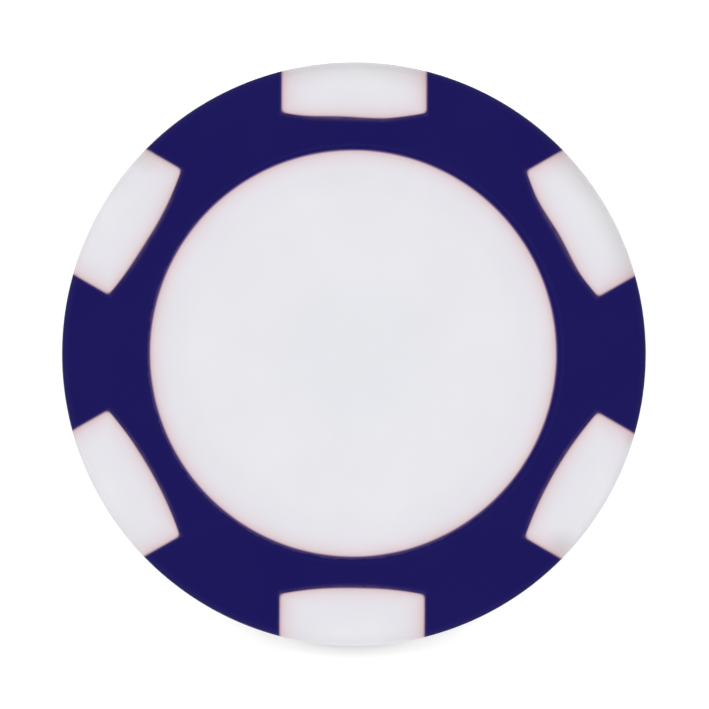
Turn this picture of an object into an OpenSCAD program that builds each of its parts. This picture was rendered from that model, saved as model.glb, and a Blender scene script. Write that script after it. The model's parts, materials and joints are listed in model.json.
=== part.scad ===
// Poker chip moulded in two shots: a white core round a steel slug, and a blue ring round the core.
// The chip lies flat. Its axis is Z, its lower face is on z = 0 and one white edge spot points along +Y.

/* [Chip] */
// Diameter across the rim
chip_d = 40; // [39:0.5:45]
// Thickness over the two faces of the blue ring
chip_t = 3.3; // [3:0.1:4]
// Radius that rounds the rim into each face
rim_r = 0.5; // [0.3:0.05:1]
// Height that the mould's parting line stands out from the rim
parting_h = 0.03; // [0.01:0.01:0.06]
// Radius of the parting line's rounded back
parting_r = 0.2; // [0.1:0.05:0.3]

/* [Centre] */
// Width of the blue band between the rim and the white centre
band_w = 6; // [5:0.1:7]
// Depth of the centre below the ring's face, which keeps a print clear of the next chip in a stack
recess_depth = 0.08; // [0.04:0.02:0.2]
// Width of the blue ledge in the recess, round the white centre
ledge_w = 0.22; // [0.1:0.02:0.6]
// Width of the sloping step from the ledge up to the ring's face
step_w = 0.2; // [0.1:0.02:0.4]

/* [Edge spots] */
// Number of white edge spots
spot_count = 6; // [4:1:8]
// Width of a spot between its straight sides
spot_w = 10; // [8:0.5:10.5]
// Depth of a spot from the rim to the middle of its inner edge
spot_depth = 4; // [3:0.1:4.5]
// Radius of the spot's inner edge, which bows towards the centre
spot_bow_r = 26; // [15:1:60]
// Radius of the spot's two inner corners
spot_corner_r = 0.25; // [0.15:0.05:0.8]

/* [Core arms] */
// Width of the arm that joins a spot to the centre
arm_w = 7; // [5:0.5:7.5]
// Thickness of the blue skin over each side of an arm
arm_cover = 1; // [0.7:0.05:1.1]

/* [Steel slug] */
// Width of the white wall between the slug's edge and the blue ring
slug_wall = 0.7; // [0.5:0.1:2]
// Thickness of the white skin over each side of the slug
slug_cover = 0.55; // [0.4:0.05:0.8]
// Radius that stamping leaves round the slug's upper edge
slug_edge_r = 0.3; // [0.1:0.05:0.5]
// Diameter of the holes that let the white plastic flow through the slug
flow_hole_d = 2.6; // [1.5:0.1:4]
// Number of flow holes on the pitch circle
flow_hole_count = 6; // [3:1:8]
// Diameter of the flow holes' pitch circle
flow_hole_pcd = 17; // [12:0.5:20]

/* [Hidden] */
$fn = 96;
// Length that a cutter reaches past the face it cuts
past = 1;
// Overlap of two curves that would otherwise only touch
lap = 0.001;

chip_rad = chip_d / 2;
mid_z = chip_t / 2;

centre_r = chip_rad - band_w;
ledge_r = centre_r + ledge_w;
step_r = ledge_r + step_w;

spot_pitch = 360 / spot_count;
spot_inner_y = chip_rad - spot_depth;
bow_y = spot_inner_y + spot_bow_r;
corner_x = spot_w / 2 - spot_corner_r;
// Distance of a corner's centre from the centre of the bow
corner_from_bow = spot_bow_r - spot_corner_r + lap;
corner_y = bow_y - sqrt(pow(corner_from_bow, 2) - pow(corner_x, 2));
// Half width of the bowed edge, up to where the corners take over
bow_half_w = corner_x * spot_bow_r / corner_from_bow;

arm_t = chip_t - 2 * arm_cover;
// Length of an arm from the chip's axis to halfway through its spot
arm_reach = chip_rad - spot_depth / 2;

slug_r = centre_r - slug_wall;
slug_z = recess_depth + slug_cover;
slug_t = chip_t - 2 * slug_z;

// Half of the recess's section at the lower face, with its sloping step
module recess_section() {
    polygon([[-past, -past], [step_r, -past], [step_r, 0], [ledge_r, recess_depth], [-past, recess_depth]]);
}

// Half of the finished chip's section
module chip_section() {
    difference() {
        union() {
            square([chip_rad - rim_r, chip_t]);
            translate([0, rim_r]) square([chip_rad, chip_t - 2 * rim_r]);
            for (z = [rim_r, chip_t - rim_r])
                translate([chip_rad - rim_r, z]) circle(rim_r);
            translate([chip_rad + parting_h - parting_r, mid_z]) circle(parting_r);
        }
        recess_section();
        translate([0, chip_t]) mirror([0, 1]) recess_section();
    }
}

// The outside of the whole chip, which both shots share
module chip_form() {
    rotate_extrude() chip_section();
}

// Outline of the spot on the Y axis, which runs out past the rim
module spot_outline() {
    translate([-spot_w / 2, corner_y]) square([spot_w, chip_rad + past - corner_y]);
    intersection() {
        translate([0, bow_y]) circle(spot_bow_r);
        translate([-bow_half_w, spot_inner_y - past])
            square([2 * bow_half_w, chip_rad - spot_inner_y + past]);
    }
    for (side = [-1, 1])
        translate([side * corner_x, corner_y]) circle(spot_corner_r);
}

// What the first shot fills: the centre and the spots right through both faces, and the arms at half height
module core_form() {
    translate([0, 0, -past]) {
        cylinder(r = centre_r, h = chip_t + 2 * past);
        for (k = [0 : spot_count - 1])
            rotate([0, 0, k * spot_pitch])
                linear_extrude(chip_t + 2 * past) spot_outline();
    }
    for (k = [0 : spot_count - 1])
        rotate([0, 0, k * spot_pitch])
            translate([-arm_w / 2, 0, arm_cover]) cube([arm_w, arm_reach, arm_t]);
}

module slug_section() {
    square([slug_r, slug_t - slug_edge_r]);
    square([slug_r - slug_edge_r, slug_t]);
    translate([slug_r - slug_edge_r, slug_t - slug_edge_r]) circle(slug_edge_r);
}

module slug_form() {
    difference() {
        translate([0, 0, slug_z]) rotate_extrude() slug_section();
        for (k = [0 : flow_hole_count - 1])
            rotate([0, 0, k * 360 / flow_hole_count])
                translate([flow_hole_pcd / 2, 0, slug_z - past])
                    cylinder(d = flow_hole_d, h = slug_t + 2 * past);
    }
}

module steel_slug() {
    color("silver") slug_form();
}

module white_core() {
    color("#e8e8ed") difference() {
        intersection() {
            chip_form();
            core_form();
        }
        slug_form();
    }
}

module blue_ring() {
    color("#1e195b") difference() {
        chip_form();
        core_form();
    }
}

steel_slug();
white_core();
blue_ring();
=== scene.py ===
import json
import math

import bmesh
import bpy
from mathutils import Matrix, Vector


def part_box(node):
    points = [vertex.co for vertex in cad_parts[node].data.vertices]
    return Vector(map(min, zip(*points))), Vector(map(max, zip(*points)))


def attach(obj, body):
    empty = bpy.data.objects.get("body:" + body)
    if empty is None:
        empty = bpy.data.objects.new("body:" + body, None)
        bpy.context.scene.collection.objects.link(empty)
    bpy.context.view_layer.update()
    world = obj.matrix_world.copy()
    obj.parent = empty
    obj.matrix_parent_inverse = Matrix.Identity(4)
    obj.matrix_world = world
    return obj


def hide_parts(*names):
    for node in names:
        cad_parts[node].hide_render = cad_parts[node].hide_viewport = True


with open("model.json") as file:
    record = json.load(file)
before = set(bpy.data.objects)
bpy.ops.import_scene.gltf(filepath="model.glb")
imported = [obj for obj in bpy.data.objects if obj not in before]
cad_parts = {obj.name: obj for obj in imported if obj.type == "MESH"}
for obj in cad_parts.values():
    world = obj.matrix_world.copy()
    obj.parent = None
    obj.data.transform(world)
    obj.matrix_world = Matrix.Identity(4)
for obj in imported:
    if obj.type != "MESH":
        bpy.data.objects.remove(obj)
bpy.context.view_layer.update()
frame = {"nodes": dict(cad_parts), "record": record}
mounts = {mount["name"]: mount for mount in frame["record"]["mounts"]}
mm = 0.001  # pieces are modelled in millimetres and shrunk to metres when they are done
print("frame loaded:", ", ".join(sorted(frame["nodes"])))

# The chip's outside, which the white core and the blue ring share
chip = {
    "rimRadius": mounts["rim"]["dims"]["r_mm"],
    "thickness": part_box("blue_ring")[1].z / mm,
    "recessDepth": mounts["lower_print_face"]["pos_m"][2] / mm,
    "centreRadius": 14.0,         # white centre
    "ledgeWidth": 0.22,           # blue ledge in the recess, round the centre
    "stepWidth": 0.2,             # slope from the ledge up to the band
    "stepSoftness": 0.05,         # how far the step's two corners are rounded
    "stepSegments": 3,
    "rimRound": 0.5,
    "rimSegments": 12,
    "partingHeight": 0.03,
    "partingWidth": 0.21,
    "partingSegments": 3,
    "holdingGap": 0.04,           # flat faces keep their own shading up to this far from a rounding
    "turns": 360,                 # faces round the rim
    "coreShift": (-0.055, 0.03),  # the white shot lay this far off the middle when the blue was moulded
}

# White spots at the rim and the arms that join them to the centre
spots = {
    "count": 6,
    "width": 10.0,
    "depth": 4.0,       # from the rim to the middle of the inner edge
    "bowRadius": 26.0,  # the inner edge bows towards the centre
    "bowSteps": 20,
    "cornerRadius": 0.25,
    "cornerSegments": 5,
    "armWidth": 7.0,
    "armCover": 1.0,    # blue over each side of an arm
    "armRoot": 10.0,    # an arm starts inside the centre
}

# Mark that the runner leaves on the rim of the blue shot
gate = {
    "padRadius": 0.75,
    "padDepth": 0.06,
    "stubRadius": 0.38,
    "stubDrop": 0.02,  # the broken stub stays below the rim
    "sink": 0.4,       # how deep the stub is rooted
    "segments": 48,
}

past = 1.0         # cutters reach this far past the face they cut
weldGap = 0.0005   # points closer than this are one
sharpAngle = 30    # edges that turn more than this stay sharp


def workPiece(bm, name):
    mesh = bpy.data.meshes.new(name)
    bm.to_mesh(mesh)
    bm.free()
    piece = bpy.data.objects.new(name, mesh)
    bpy.context.scene.collection.objects.link(piece)
    return piece


def combine(piece, tool, operation):
    cut = piece.modifiers.new("combine", "BOOLEAN")
    cut.object = tool
    cut.operation = operation
    cut.solver = "EXACT"
    done = piece.evaluated_get(bpy.context.evaluated_depsgraph_get())
    mesh = bpy.data.meshes.new_from_object(done)
    piece.modifiers.clear()
    piece.data = mesh


# Half of the chip's section, rounded at its corners and spun about the axis
def chipBlank(name):
    rim = chip["rimRadius"]
    middle = chip["thickness"] / 2
    ledge = chip["centreRadius"] + chip["ledgeWidth"]
    step = ledge + chip["stepWidth"]
    hold = chip["holdingGap"]
    lower = [
        (0, chip["recessDepth"]),
        (ledge - chip["stepSoftness"] - hold, chip["recessDepth"]),
        (ledge, chip["recessDepth"]),
        (step, 0),
        (step + chip["stepSoftness"] + hold, 0),
        (rim - chip["rimRound"] - hold, 0),
        (rim, 0),
        (rim, chip["rimRound"] + hold),
        (rim, middle - chip["partingWidth"] / 2 - hold),
        (rim, middle - chip["partingWidth"] / 2),
    ]
    upper = [(radius, chip["thickness"] - z) for radius, z in reversed(lower)]
    back = (rim + chip["partingHeight"], middle)
    bm = bmesh.new()
    corners = {place: bm.verts.new((place[0], 0, place[1])) for place in lower + [back] + upper}
    line = list(corners.values())
    for corner, following in zip(line, line[1:]):
        bm.edges.new((corner, following))
    rounded = [
        ([(rim, 0)], chip["rimRound"], chip["rimSegments"]),
        ([(ledge, chip["recessDepth"]), (step, 0)], chip["stepSoftness"], chip["stepSegments"]),
        ([back], chip["partingWidth"] / 4, chip["partingSegments"]),  # half of each flank
    ]
    for places, offset, segments in rounded:
        mirrored = [(radius, chip["thickness"] - z) for radius, z in places]
        chosen = [corners[place] for place in dict.fromkeys(places + mirrored)]
        bmesh.ops.bevel(bm, geom=chosen, offset=offset, offset_type="OFFSET", affect="VERTICES",
                        segments=segments, profile=0.5, material=-1)
    bmesh.ops.spin(bm, geom=bm.verts[:] + bm.edges[:], cent=(0, 0, 0), axis=(0, 0, 1),
                   angle=math.tau, steps=chip["turns"], use_merge=True)
    bmesh.ops.remove_doubles(bm, verts=bm.verts, dist=weldGap)
    bmesh.ops.recalc_face_normals(bm, faces=bm.faces)
    return workPiece(bm, name)


def centreTool():
    bm = bmesh.new()
    lift = Matrix.Translation((0, 0, chip["thickness"] / 2))
    bmesh.ops.create_cone(bm, cap_ends=True, segments=chip["turns"], radius1=chip["centreRadius"],
                          radius2=chip["centreRadius"], depth=chip["thickness"] + 2 * past, matrix=lift)
    return workPiece(bm, "centreTool")


def aroundChip(bm):
    pitch = math.tau / spots["count"]
    bmesh.ops.spin(bm, geom=bm.verts[:] + bm.edges[:] + bm.faces[:], cent=(0, 0, 0), axis=(0, 0, 1),
                   angle=math.tau - pitch, steps=spots["count"] - 1, use_duplicate=True)
    bmesh.ops.recalc_face_normals(bm, faces=bm.faces)


def spotTool():
    half = spots["width"] / 2
    bow = spots["bowRadius"]
    bowCentre = chip["rimRadius"] - spots["depth"] + bow
    sideAngle = math.asin(half / bow)
    # how much of the side the corner's rounding takes, where the two edges meet at 90 degrees and sideAngle
    cornerReach = spots["cornerRadius"] / math.tan((math.pi / 2 + sideAngle) / 2)
    innerEnd = bowCentre - math.sqrt(bow ** 2 - half ** 2)
    bm = bmesh.new()
    right = bm.verts.new((half, innerEnd, -past))
    swept = bmesh.ops.spin(bm, geom=[right], cent=(0, bowCentre, -past), axis=(0, 0, 1),
                           angle=-2 * sideAngle, steps=spots["bowSteps"])
    left = next(item for item in swept["geom_last"] if isinstance(item, bmesh.types.BMVert))
    sides = bmesh.ops.extrude_vert_indiv(bm, verts=[right, left])
    bmesh.ops.translate(bm, verts=sides["verts"], vec=(0, chip["rimRadius"] + past - innerEnd, 0))
    bmesh.ops.contextual_create(bm, geom=sides["verts"])
    bmesh.ops.edgeloop_fill(bm, edges=bm.edges)
    bmesh.ops.bevel(bm, geom=[right, left], offset=cornerReach, offset_type="OFFSET", affect="VERTICES",
                    segments=spots["cornerSegments"], profile=0.5, material=-1)
    raised = bmesh.ops.extrude_face_region(bm, geom=bm.faces[:])
    raisedVerts = [item for item in raised["geom"] if isinstance(item, bmesh.types.BMVert)]
    bmesh.ops.translate(bm, verts=raisedVerts, vec=(0, 0, chip["thickness"] + 2 * past))
    aroundChip(bm)
    return workPiece(bm, "spotTool")


def armTool():
    reach = chip["rimRadius"] - spots["depth"] / 2 - spots["armRoot"]
    size = (spots["armWidth"], reach, chip["thickness"] - 2 * spots["armCover"])
    place = (0, spots["armRoot"] + reach / 2, chip["thickness"] / 2)
    bm = bmesh.new()
    bmesh.ops.create_cube(bm, size=1, matrix=Matrix.Translation(place) @ Matrix.Diagonal((*size, 1)))
    aroundChip(bm)
    return workPiece(bm, "armTool")


def gateTool(radius, inner, outer):
    middle = Matrix.Translation(((inner + outer) / 2, 0, chip["thickness"] / 2))
    alongX = Matrix.Rotation(math.pi / 2, 4, "Y")
    bm = bmesh.new()
    bmesh.ops.create_cone(bm, cap_ends=True, segments=gate["segments"], radius1=radius, radius2=radius,
                          depth=outer - inner, matrix=middle @ alongX)
    return workPiece(bm, "gateTool")


def slugTool():
    bm = bmesh.new()
    bm.from_mesh(frame["nodes"]["steel_slug"].data)
    bmesh.ops.scale(bm, verts=bm.verts, vec=(1 / mm, 1 / mm, 1 / mm))
    bmesh.ops.remove_doubles(bm, verts=bm.verts, dist=weldGap)
    return workPiece(bm, "slugTool")


def finishPiece(piece, node, material):
    bm = bmesh.new()
    bm.from_mesh(piece.data)
    bmesh.ops.remove_doubles(bm, verts=bm.verts, dist=weldGap)
    bmesh.ops.dissolve_degenerate(bm, edges=bm.edges, dist=weldGap)
    bmesh.ops.scale(bm, verts=bm.verts, vec=(mm, mm, mm))
    for face in bm.faces:
        face.smooth = True
    for edge in bm.edges:
        edge.smooth = edge.calc_face_angle(math.pi) < math.radians(sharpAngle)
    bm.to_mesh(piece.data)
    bm.free()
    piece.data.materials.clear()
    piece.data.materials.append(material)
    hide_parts(node)
    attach(piece, "root")
    print(piece.name, "has", len(piece.data.polygons), "faces")


def toLinear(hexColour):
    channels = [int(hexColour[place:place + 2], 16) / 255 for place in (1, 3, 5)]
    linear = [c / 12.92 if c <= 0.04045 else ((c + 0.055) / 1.055) ** 2.4 for c in channels]
    return (*linear, 1.0)


# A colour Mix takes its share on socket 0 and its two colours on 6 and 7, and gives its colour on output 2
def addNode(tree, kind, settings=None, links=None, output=0):
    node = tree.nodes.new("ShaderNode" + kind)
    for name, value in (settings or {}).items():
        if isinstance(name, str) and hasattr(node, name):
            setattr(node, name, value)
        else:
            node.inputs[name].default_value = value
    for name, socket in (links or {}).items():
        tree.links.new(socket, node.inputs[name])
    return node.outputs[output] if node.outputs else None


def newMaterial(name):
    material = bpy.data.materials.new(name)
    material.use_nodes = True
    material.node_tree.nodes.clear()
    return material, material.node_tree


def millimetrePlace(tree):
    place = addNode(tree, "TexCoord", output="Object")
    return addNode(tree, "VectorMath", {"operation": "SCALE", "Scale": 1 / mm}, {0: place})


noiseDetail = {"soft": 2.0, "middling": 3.0, "fine": 4.0}
noiseSpan = {"From Min": 0.3, "From Max": 0.7}  # nearly all of a noise lies between these


# Distances in millimetres from the borders between the two plastics, more than 0 on the white
def bordersAt(tree, place):
    shift = (*chip["coreShift"], 0.0)
    onCore = addNode(tree, "VectorMath", {"operation": "SUBTRACT", 1: shift}, {0: place})
    axes = addNode(tree, "SeparateXYZ", links={0: onCore}).node.outputs
    flat = addNode(tree, "CombineXYZ", links={"X": axes["X"], "Y": axes["Y"]})
    radius = addNode(tree, "VectorMath", {"operation": "LENGTH"}, {0: flat}, "Value")
    angle = addNode(tree, "Math", {"operation": "ARCTAN2"}, {0: axes["Y"], 1: axes["X"]})
    # every spot is folded onto one half of the spot at the top
    fromTop = addNode(tree, "Math", {"operation": "SUBTRACT", 1: math.pi / 2}, {0: angle})
    folded = addNode(tree, "Math", {"operation": "PINGPONG", 1: math.pi / spots["count"]}, {0: fromTop})
    sine = addNode(tree, "Math", {"operation": "SINE"}, {0: folded})
    cosine = addNode(tree, "Math", {"operation": "COSINE"}, {0: folded})
    aside = addNode(tree, "Math", {"operation": "MULTIPLY"}, {0: radius, 1: sine})
    outward = addNode(tree, "Math", {"operation": "MULTIPLY"}, {0: radius, 1: cosine})
    bowCentre = chip["rimRadius"] - spots["depth"] + spots["bowRadius"]
    fromBow = addNode(tree, "Math", {"operation": "SUBTRACT", 1: bowCentre}, {0: outward})
    bowPlace = addNode(tree, "CombineXYZ", links={"X": aside, "Y": fromBow})
    bowLength = addNode(tree, "VectorMath", {"operation": "LENGTH"}, {0: bowPlace}, "Value")
    bow = addNode(tree, "Math", {"operation": "SUBTRACT", 0: spots["bowRadius"]}, {1: bowLength})
    side = addNode(tree, "Math", {"operation": "SUBTRACT", 0: spots["width"] / 2}, {1: aside})
    centre = addNode(tree, "Math", {"operation": "SUBTRACT", 0: chip["centreRadius"]}, {1: radius})
    return {"flat": flat, "radius": radius, "bow": bow, "side": side, "centre": centre}


# this much smoothing cuts a corner as deep as its rounding does
cornerSmoothing = 6 * (1 - math.sqrt(0.5)) * spots["cornerRadius"]

# Thin films of blue that ran over the inner edges of some spots: the middle's x and y, reach and width
films = [
    (-0.8, 16.0, 3.6, 0.2),
    (13.86, 8.0, 3.6, 0.28),
    (-14.4, 7.2, 4.0, 0.08),
    (-13.9, -8.0, 3.5, 0.02),
    (0.2, -16.0, 3.6, 0.04),
]

# How such a film looks: the white shows through where it is thin, at its end and beside every spot
filmLook = {
    "colour": "#584768",
    "reach": (0.36, 0.5),  # how far it thins, and the share of a film's width that is added
    "fade": 2.0,           # it fades fast at first and then slowly
    "cornerShare": 0.45,   # it is fainter towards a spot's corners
    "cornerReach": (0.5, 3.5),
    "sideNarrowing": 1.8,  # it is narrower along the sides of a spot
    "endFade": 0.06,
    "mottle": (0.7, 1.3),
    "mottleSize": 0.5,
}

# Smudges that handling left on the rim's corners: the middle's x and y, reach and strength
smudges = [
    (14.5, -13.4, 1.8, 1.1),
    (-14.4, 13.3, 1.5, 0.6),
    (19.0, -5.8, 0.8, 0.9),
]


# Marks don't add up: where some overlap, the strongest shows
def strongestOf(tree, marks):
    strongest = marks[0]
    for mark in marks[1:]:
        strongest = addNode(tree, "Math", {"operation": "MAXIMUM"}, {0: strongest, 1: mark})
    return strongest


def roundMarksAt(tree, flat, marks):
    softened = []
    for x, y, reach, strength in marks:
        away = addNode(tree, "VectorMath", {"operation": "DISTANCE", 1: (x, y, 0.0)}, {0: flat}, "Value")
        mark = addNode(tree, "MapRange", {"interpolation_type": "SMOOTHSTEP", "From Min": reach,
                                          "From Max": 0.0, "To Max": strength}, {"Value": away})
        softened.append(mark)
    return strongestOf(tree, softened)


# Share of white that shows through the blue, where ahead is the distance to the visible white, below 0
def thinFilmAt(tree, place, border, ahead, filmWidth):
    reach, widthShare = filmLook["reach"]
    filmEnd = addNode(tree, "Math", {"operation": "MULTIPLY_ADD", 1: -widthShare, 2: -reach},
                      {0: filmWidth})
    thinness = addNode(tree, "MapRange", {"From Max": 0.0}, {"Value": ahead, "From Min": filmEnd})
    uneven = addNode(tree, "TexNoise", {"Scale": 1 / filmLook["mottleSize"], "Detail": noiseDetail["soft"]},
                     {"Vector": place})
    least, most = filmLook["mottle"]
    mottle = addNode(tree, "MapRange", {**noiseSpan, "To Min": least, "To Max": most}, {"Value": uneven})
    faded = addNode(tree, "Math", {"operation": "POWER", 1: filmLook["fade"]}, {0: thinness})
    near, far = filmLook["cornerReach"]
    swell = addNode(tree, "MapRange", {"interpolation_type": "SMOOTHSTEP", "From Min": near,
                                       "From Max": far, "To Min": filmLook["cornerShare"]},
                    {"Value": border["side"]})
    swollen = addNode(tree, "Math", {"operation": "MULTIPLY"}, {0: faded, 1: swell})
    return addNode(tree, "Math", {"operation": "MULTIPLY"}, {0: swollen, 1: mottle})


def specksOver(tree, place, below, look):
    specks = addNode(tree, "TexVoronoi", {"Scale": 1 / look["speckSpacing"]}, {"Vector": place})
    reach = look["speckSize"] / look["speckSpacing"]
    share = addNode(tree, "MapRange", {"interpolation_type": "SMOOTHSTEP", "From Min": reach,
                                       "From Max": 0.0, "To Max": look["speckDepth"]}, {"Value": specks})
    return addNode(tree, "Mix", {"data_type": "RGBA", 7: toLinear(look["speckColour"])},
                   {0: share, 6: below}, 2)


# Moulded plastic with a fine grain, rougher where it is cloudy and where it is scratched
def mouldedFinish(tree, place, look, colour, cloud, scratches=None):
    smooth, rough = look["roughness"]
    roughness = addNode(tree, "MapRange", {**noiseSpan, "To Min": smooth, "To Max": rough},
                        {"Value": cloud})
    if scratches is not None:
        roughness = addNode(tree, "Math", {"operation": "MULTIPLY_ADD", 1: look["scratchRoughness"]},
                            {0: scratches, 2: roughness})
    grain = addNode(tree, "TexNoise", {"Scale": 1 / look["grainSize"], "Detail": noiseDetail["soft"]},
                    {"Vector": place})
    bump = addNode(tree, "Bump", {"Distance": look["grainDepth"] * mm}, {"Height": grain})
    shader = addNode(tree, "BsdfPrincipled", {"IOR": look["ior"], "Specular IOR Level": look["gloss"]},
                     {"Base Color": colour, "Roughness": roughness, "Normal": bump})
    addNode(tree, "OutputMaterial", links={"Surface": shader})


# White ABS, moulded first. It is bright, a little cool and satin. Light that enters it beside the blue is
# lost in the blue, so its edge turns a rosy grey, and the blue feathers over it. Painted shade greys the
# rim, and handling smudges a few of its corners.
whiteLook = {
    "edge": [  # millimetres from the blue, and the colour there
        (0.0, "#302563"), (0.05, "#604a7b"), (0.1, "#a68ea2"), (0.15, "#d3b9c0"), (0.21, "#dcc8cd"),
        (0.3, "#decfd5"), (0.45, "#e2d7dc"), (0.75, "#e4dee4"), (1.3, "#e6e4ea"), (3.5, "#e8e8ed"),
    ],
    "spotFeather": 0.075,       # the blue feathers this much less far over a spot than over the centre
    "sideEdge": 0.75,           # the edge looks wider along the sides of a spot
    "sideCover": 0.019,         # and the blue feathers a little further over it there
    "edgeWaver": 0.05,
    "waverSize": 1.5,
    "steadyWidth": 0.4,         # the waver dies away this close to the border
    "patchColour": "#e2e6ea",   # cooler, greyer middle, over the slug
    "patchRadius": 6.5,
    "cloudSize": 4.0,           # soft clouds in the white
    "cloudDepth": 0.03,
    "speckColour": "#c9c6c8",
    "speckSpacing": 2.6,
    "speckSize": 0.055,
    "speckDepth": 1.0,
    "grimeTint": "#efedeb",     # painted shade and smudges grey the rim by this much
    "grimeTurn": 60,            # where on the rim the painted shade is strongest, and it is weaker on the far side
    "grimeShare": (0.5, 1.1),   # on the far side and where it is strongest
    "grimeReach": (0.8, 1.85),  # in from the rim, in the same two places
    "grimeFull": 0.25,          # the part of that reach where the painted shade is full
    "grimeFade": 1.7,           # it fades fast at first and then slowly
    "rubbedWidth": 0.35,        # the rim's very edge is lighter, down to a share of the painted shade and smudges
    "rubbedShare": 0.35,
    "ior": 1.54,
    "gloss": 0.15,              # fine grain keeps the gloss low
    "roughness": (0.46, 0.56),
    "grainSize": 0.28,          # a moulded face's grain is about 0.05 mm, drawn coarser so that it shows
    "grainDepth": 0.0012,
}


def whiteAbsMaterial():
    material, tree = newMaterial("whiteAbs")
    place = millimetrePlace(tree)
    border = bordersAt(tree, place)

    waver = addNode(tree, "TexNoise", {"Scale": 1 / whiteLook["waverSize"], "Detail": noiseDetail["soft"]},
                    {"Vector": place})
    wander = whiteLook["edgeWaver"]
    offset = addNode(tree, "MapRange", {"To Min": -wander, "To Max": wander}, {"Value": waver})
    side = addNode(tree, "Math", {"operation": "MULTIPLY_ADD", 1: whiteLook["sideEdge"],
                                  2: -whiteLook["sideCover"]}, {0: border["side"]})
    filmWidth = roundMarksAt(tree, border["flat"], films)
    pastFilm = addNode(tree, "Math", {"operation": "SUBTRACT"}, {0: border["bow"], 1: filmWidth})
    spot = addNode(tree, "Math", {"operation": "SMOOTH_MIN", 2: cornerSmoothing}, {0: side, 1: pastFilm})
    spotEdge = addNode(tree, "Math", {"operation": "ADD", 1: whiteLook["spotFeather"]}, {0: spot})
    inside = addNode(tree, "Math", {"operation": "MAXIMUM"}, {0: spotEdge, 1: border["centre"]})
    steady = addNode(tree, "MapRange", {"From Max": whiteLook["steadyWidth"]}, {"Value": inside})
    wavered = addNode(tree, "Math", {"operation": "MULTIPLY_ADD"}, {0: offset, 1: steady, 2: inside})
    reach = whiteLook["edge"][-1][0]
    share = addNode(tree, "Math", {"operation": "DIVIDE", 1: reach}, {0: wavered})
    edge = addNode(tree, "ValToRGB", links={"Fac": share})
    stops = edge.node.color_ramp.elements  # the ramp comes with its first and last stop
    for distance, hexColour in whiteLook["edge"][1:-1]:
        stops.new(distance / reach)
    for stop, (distance, hexColour) in zip(stops, whiteLook["edge"]):
        stop.color = toLinear(hexColour)

    cloud = addNode(tree, "TexNoise", {"Scale": 1 / whiteLook["cloudSize"], "Detail": noiseDetail["fine"]},
                    {"Vector": place})
    patchFade = addNode(tree, "MapRange", {"interpolation_type": "SMOOTHSTEP", "From Max": 0.0,
                                           "From Min": whiteLook["patchRadius"]},
                        {"Value": border["radius"]})
    patchShare = addNode(tree, "Math", {"operation": "MULTIPLY"}, {0: patchFade, 1: cloud})
    patched = addNode(tree, "Mix", {"data_type": "RGBA", 7: toLinear(whiteLook["patchColour"])},
                      {0: patchShare, 6: edge}, 2)
    depth = whiteLook["cloudDepth"]
    cloudShade = addNode(tree, "MapRange", {"To Min": 1 - depth, "To Max": 1 + depth}, {"Value": cloud})
    clouded = addNode(tree, "VectorMath", {"operation": "SCALE"}, {0: patched, "Scale": cloudShade})

    specked = specksOver(tree, place, clouded, whiteLook)

    # painted shade on the rim is strongest and widest on one side, less on the far side and none between
    rim = chip["rimRadius"]
    turn = math.radians(whiteLook["grimeTurn"])
    towards = (math.cos(turn) / rim, math.sin(turn) / rim, 0.0)
    lean = addNode(tree, "VectorMath", {"operation": "DOT_PRODUCT", 1: towards}, {0: border["flat"]},
                   "Value")
    weak, strong = whiteLook["grimeShare"]
    nearSide = addNode(tree, "MapRange", {"To Max": strong}, {"Value": lean})
    farSide = addNode(tree, "MapRange", {"From Max": -1.0, "To Max": weak}, {"Value": lean})
    rimShadeSide = addNode(tree, "Math", {"operation": "MAXIMUM"}, {0: nearSide, 1: farSide})
    narrow, wide = whiteLook["grimeReach"]
    grimeReach = addNode(tree, "MapRange", {"From Min": -1.0, "To Min": narrow, "To Max": wide},
                         {"Value": lean})
    fromRim = addNode(tree, "Math", {"operation": "SUBTRACT", 0: rim}, {1: border["radius"]})
    rimShadePlace = addNode(tree, "Math", {"operation": "DIVIDE"}, {0: fromRim, 1: grimeReach})
    rimShadeEnd = addNode(tree, "MapRange", {"From Min": 1.0, "From Max": whiteLook["grimeFull"]},
                       {"Value": rimShadePlace})
    grimeFade = addNode(tree, "Math", {"operation": "POWER", 1: whiteLook["grimeFade"]}, {0: rimShadeEnd})
    paintedRimShade = addNode(tree, "Math", {"operation": "MULTIPLY"}, {0: rimShadeSide, 1: grimeFade})
    # the painted shade and the smudges from handling; where they overlap, the stronger shows
    shadeAndSmudges = strongestOf(tree, [paintedRimShade, roundMarksAt(tree, border["flat"], smudges)])
    rimEdgeEasing = addNode(tree, "MapRange", {"From Max": whiteLook["rubbedWidth"],
                                        "To Min": whiteLook["rubbedShare"]}, {"Value": fromRim})
    grimeShare = addNode(tree, "Math", {"operation": "MULTIPLY"}, {0: shadeAndSmudges, 1: rimEdgeEasing})
    # the rim is darkened by the painted shade and the smudges
    shadedAndSmudged = addNode(tree, "Mix", {"data_type": "RGBA", "blend_type": "MULTIPLY", "clamp_factor": False,
                                   7: toLinear(whiteLook["grimeTint"])}, {0: grimeShare, 6: specked}, 2)

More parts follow.
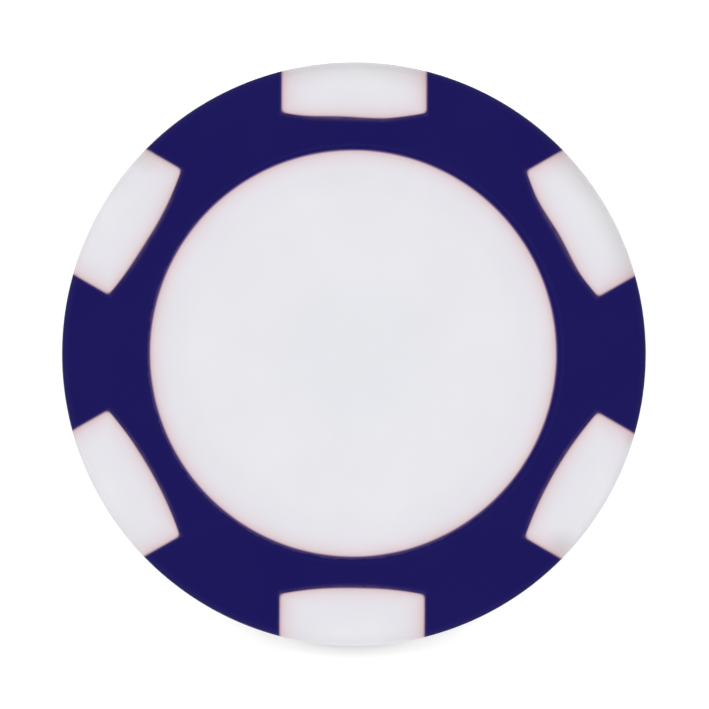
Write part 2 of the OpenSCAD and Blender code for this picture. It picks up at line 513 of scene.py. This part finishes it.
    filmShare = addNode(tree, "MapRange", {"interpolation_type": "SMOOTHSTEP", "From Min": 0.0,
                                           "From Max": -filmLook["endFade"]}, {"Value": pastFilm})
    pastCentre = chip["centreRadius"] + chip["ledgeWidth"]
    onSpot = addNode(tree, "Math", {"operation": "GREATER_THAN", 1: pastCentre}, {0: border["radius"]})
    filmOnSpot = addNode(tree, "Math", {"operation": "MULTIPLY"}, {0: filmShare, 1: onSpot})
    thinness = thinFilmAt(tree, place, border, pastFilm, filmWidth)
    film = addNode(tree, "Mix", {"data_type": "RGBA", 6: toLinear(blueLook["colour"]),
                                 7: toLinear(filmLook["colour"])}, {0: thinness}, 2)
    colour = addNode(tree, "Mix", {"data_type": "RGBA"}, {0: filmOnSpot, 6: shadedAndSmudged, 7: film}, 2)

    mouldedFinish(tree, place, whiteLook, colour, cloud)
    return material


# Blue ABS, moulded round the white. It is deep and even, with a low satin gloss, faint paler specks and
# hairline marks from handling. Where it ran thin over the white, its edge is a dusky violet.
blueLook = {
    "colour": "#1b155b",
    "deepColour": "#19135a",
    "cloudSize": 7.0,
    "speckColour": "#3a3470",
    "speckSpacing": 1.7,
    "speckSize": 0.07,
    "speckDepth": 0.5,
    "smearColour": "#483969",
    "smearWidth": (0.05, 0.17),  # round the centre, where it is narrowest and widest
    "smearTurn": 230,            # it is widest at the lower left
    "smearGrowth": (-6.0, 9.0),  # and grows between these distances in that direction
    "smearFray": (0.5, 1.5),
    "smearSize": 0.5,
    "ior": 1.54,
    "gloss": 0.06,               # fine grain keeps the gloss low
    "roughness": (0.46, 0.56),
    "scratchSpacing": 0.55,      # hairlines are far finer, drawn wide enough to show
    "scratchLength": 9.0,
    "scratchTurns": (0.4, 1.5, 2.6),
    "scratchWander": 0.3,
    "scratchCut": (0.66, 0.74),  # only the peaks of the noise become scratches
    "scratchRoughness": 0.12,
    "grainSize": 0.28,           # drawn coarser than it is, as on the white
    "grainDepth": 0.0016,
}


def blueAbsMaterial():
    material, tree = newMaterial("blueAbs")
    place = millimetrePlace(tree)
    border = bordersAt(tree, place)
    cloud = addNode(tree, "TexNoise", {"Scale": 1 / blueLook["cloudSize"],
                                       "Detail": noiseDetail["middling"]}, {"Vector": place})
    base = addNode(tree, "Mix", {"data_type": "RGBA", 6: toLinear(blueLook["deepColour"]),
                                 7: toLinear(blueLook["colour"])}, {0: cloud}, 2)

    specked = specksOver(tree, place, base, blueLook)

    # the smear round the centre is frayed, and widest at the lower left
    narrow, wide = blueLook["smearWidth"]
    fray = addNode(tree, "TexNoise", {"Scale": 1 / blueLook["smearSize"],
                                      "Detail": noiseDetail["middling"]}, {"Vector": place})
    least, most = blueLook["smearFray"]
    frayed = addNode(tree, "MapRange", {**noiseSpan, "To Min": -least, "To Max": -most}, {"Value": fray})
    turn = math.radians(blueLook["smearTurn"])
    towards = (math.cos(turn), math.sin(turn), 0.0)
    lean = addNode(tree, "VectorMath", {"operation": "DOT_PRODUCT", 1: towards}, {0: place}, "Value")
    start, end = blueLook["smearGrowth"]
    smearWidth = addNode(tree, "MapRange", {"interpolation_type": "SMOOTHSTEP", "From Min": start,
                                            "From Max": end, "To Min": narrow, "To Max": wide},
                         {"Value": lean})
    smearEnd = addNode(tree, "Math", {"operation": "MULTIPLY"}, {0: smearWidth, 1: frayed})
    smear = addNode(tree, "MapRange", {"interpolation_type": "SMOOTHSTEP", "From Max": 0.0},
                    {"Value": border["centre"], "From Min": smearEnd})
    smeared = addNode(tree, "Mix", {"data_type": "RGBA", 7: toLinear(blueLook["smearColour"])},
                      {0: smear, 6: specked}, 2)

    filmWidth = roundMarksAt(tree, border["flat"], films)
    pastFilm = addNode(tree, "Math", {"operation": "SUBTRACT"}, {0: border["bow"], 1: filmWidth})
    side = addNode(tree, "Math", {"operation": "MULTIPLY", 1: filmLook["sideNarrowing"]},
                   {0: border["side"]})
    spot = addNode(tree, "Math", {"operation": "SMOOTH_MIN", 2: cornerSmoothing}, {0: side, 1: pastFilm})
    thinness = thinFilmAt(tree, place, border, spot, filmWidth)
    colour = addNode(tree, "Mix", {"data_type": "RGBA", 7: toLinear(filmLook["colour"])},
                     {0: thinness, 6: smeared}, 2)

    stretch = (1 / blueLook["scratchLength"], 1 / blueLook["scratchSpacing"], 0.0)
    faint, full = blueLook["scratchCut"]
    scratches = []
    for turn in blueLook["scratchTurns"]:
        turned = addNode(tree, "Mapping", {"Rotation": (0.0, 0.0, turn), "Scale": stretch},
                         {"Vector": place})
        lines = addNode(tree, "TexNoise", {"Scale": 1.0, "Detail": noiseDetail["fine"],
                                           "Distortion": blueLook["scratchWander"]}, {"Vector": turned})
        fine = addNode(tree, "MapRange", {"interpolation_type": "SMOOTHSTEP", "From Min": faint,
                                          "From Max": full}, {"Value": lines})
        scratches.append(fine)
    mouldedFinish(tree, place, blueLook, colour, cloud, strongestOf(tree, scratches))
    return material


# Cold-rolled steel, stamped. It is a cool grey metal with fine rolling lines.
steelLook = {
    "colour": "#a9aaac",
    "darkColour": "#8e8f92",
    "lineSpacing": 0.35,  # rolling lines are finer, drawn wide enough to show
    "lineLength": 12.0,
    "roughness": (0.28, 0.42),
}


def slugSteelMaterial():
    material, tree = newMaterial("slugSteel")
    place = millimetrePlace(tree)
    across = 1 / steelLook["lineSpacing"]
    stretched = addNode(tree, "Mapping", {"Scale": (1 / steelLook["lineLength"], across, across)},
                        {"Vector": place})
    lines = addNode(tree, "TexNoise", {"Scale": 1.0, "Detail": noiseDetail["fine"]}, {"Vector": stretched})
    colour = addNode(tree, "Mix", {"data_type": "RGBA", 6: toLinear(steelLook["darkColour"]),
                                   7: toLinear(steelLook["colour"])}, {0: lines}, 2)
    smooth, rough = steelLook["roughness"]
    roughness = addNode(tree, "MapRange", {"To Min": smooth, "To Max": rough}, {"Value": lines})
    shader = addNode(tree, "BsdfPrincipled", {"Metallic": 1.0},
                     {"Base Color": colour, "Roughness": roughness})
    addNode(tree, "OutputMaterial", links={"Surface": shader})
    return material


whiteAbs = whiteAbsMaterial()
blueAbs = blueAbsMaterial()
slugSteel = slugSteelMaterial()
print("materials made:", whiteAbs.name, blueAbs.name, slugSteel.name)

blueRing = chipBlank("blueRing")
whiteCore = chipBlank("whiteCore")
core = centreTool()
spotCutter = spotTool()
armCutter = armTool()
combine(core, spotCutter, "UNION")
combine(core, armCutter, "UNION")
core.data.transform(Matrix.Translation((*chip["coreShift"], 0)))
combine(blueRing, core, "DIFFERENCE")
combine(whiteCore, core, "INTERSECT")
slugCutter = slugTool()
combine(whiteCore, slugCutter, "DIFFERENCE")
rimWall = chip["rimRadius"]
padCutter = gateTool(gate["padRadius"], rimWall - gate["padDepth"], rimWall + past)
combine(blueRing, padCutter, "DIFFERENCE")
gateStub = gateTool(gate["stubRadius"], rimWall - gate["sink"], rimWall - gate["stubDrop"])
combine(blueRing, gateStub, "UNION")
for tool in (core, spotCutter, armCutter, slugCutter, padCutter, gateStub):
    bpy.data.objects.remove(tool)
finishPiece(blueRing, "blue_ring", blueAbs)
finishPiece(whiteCore, "white_core", whiteAbs)

slug = frame["nodes"]["steel_slug"]
slug.data.materials.clear()
slug.data.materials.append(slugSteel)

# Camera straight over the chip. The chip sits a hair off the middle of the picture and is turned a little.
view = {"lens": 500.0, "frameWidth": 48.66, "offset": (0.04, -0.04), "roll": 0.24}
scene = bpy.context.scene
cameraData = bpy.data.cameras.new("camera")
cameraData.lens = view["lens"]
camera = bpy.data.objects.new("camera", cameraData)
distance = view["frameWidth"] * view["lens"] / cameraData.sensor_width
camera.location = [mm * place for place in (*view["offset"], chip["thickness"] / 2 + distance)]
camera.rotation_euler.z = math.radians(view["roll"])
scene.collection.objects.link(camera)
scene.camera = camera

# Paper sweep under the chip. It is lit by two low lamps of its own, from both sides and a little behind, so
# that the soft shadow shows only at the front, and it looks white to the camera and in reflections.
sweep = {
    "radius": 3.0,           # in metres, far past the picture's edges
    "colour": "#898989",
    "glow": 0.572,
    "lampTurns": (20, 160),  # degrees from +X, as for the ring of lamps
    "lampElevation": 22,
    "lampSpread": 34,
    "lampStrength": 14.2,
    "segments": 64,
}

# Ring of broad lamps round the chip, a little stronger from the lower left
ring = {
    "count": 6,
    "start": 45,
    "elevation": 34,
    "spread": 45,
    "strength": 0.9,
    "lean": 0.14,
    "leanTo": 225,
}

# Studio walls are white near the floor and fade to a dim ceiling
walls = {"low": 1.0, "ceiling": 0.05, "fadeStart": 0.02, "fadeEnd": 0.1}


def seenBackground(tree):
    path = addNode(tree, "LightPath").node.outputs
    seen = addNode(tree, "Math", {"operation": "MAXIMUM"},
                   {0: path["Is Camera Ray"], 1: path["Is Glossy Ray"]})
    return addNode(tree, "Math", {"operation": "MAXIMUM"}, {0: seen, 1: path["Is Transmission Ray"]})


def sweepMaterial():
    material, tree = newMaterial("matPaper")
    paper = addNode(tree, "BsdfDiffuse", {"Color": toLinear(sweep["colour"])})
    strength = addNode(tree, "Math", {"operation": "MULTIPLY", 1: sweep["glow"]}, {0: seenBackground(tree)})
    glow = addNode(tree, "Emission", links={"Strength": strength})
    both = addNode(tree, "AddShader", links={0: paper, 1: glow})
    addNode(tree, "OutputMaterial", links={"Surface": both})
    return material


def sunLamp(name, turn, elevation, spread, strength, lit):
    lamp = bpy.data.lights.new(name, "SUN")
    lamp.energy = strength
    lamp.angle = math.radians(spread)
    holder = bpy.data.objects.new(name, lamp)
    # a lamp shines straight down until it is tipped, and is then turned about the chip's axis
    holder.rotation_euler = (math.radians(90 - elevation), 0, math.radians(turn + 90))
    scene.collection.objects.link(holder)
    holder.light_linking.receiver_collection = lit


floorBm = bmesh.new()
bmesh.ops.create_circle(floorBm, cap_ends=True, radius=sweep["radius"], segments=sweep["segments"])
floor = workPiece(floorBm, "floor")
floor.data.materials.append(sweepMaterial())

litFloor = bpy.data.collections.new("litFloor")
litFloor.objects.link(floor)
litChip = bpy.data.collections.new("litChip")
for piece in (blueRing, whiteCore, slug):
    litChip.objects.link(piece)
for turn in sweep["lampTurns"]:
    sunLamp("floorLamp", turn, sweep["lampElevation"], sweep["lampSpread"], sweep["lampStrength"], litFloor)
for place in range(ring["count"]):
    turn = ring["start"] + place * 360 / ring["count"]
    lean = 1 + ring["lean"] * math.cos(math.radians(turn - ring["leanTo"]))
    sunLamp("ringLamp", turn, ring["elevation"], ring["spread"], ring["strength"] * lean, litChip)

world = bpy.data.worlds.new("studio")
world.use_nodes = True
world.node_tree.nodes.clear()
direction = addNode(world.node_tree, "TexCoord", output="Generated")
height = addNode(world.node_tree, "SeparateXYZ", links={0: direction}, output="Z")
fade = addNode(world.node_tree, "MapRange",
               {"interpolation_type": "SMOOTHSTEP", "From Min": walls["fadeStart"],
                "From Max": walls["fadeEnd"], "To Min": walls["low"], "To Max": walls["ceiling"]},
               {"Value": height})
sky = addNode(world.node_tree, "Background", links={"Strength": fade})
addNode(world.node_tree, "OutputWorld", links={"Surface": sky})
scene.world = world
scene.view_settings.view_transform = "Standard"
print("studio lit")
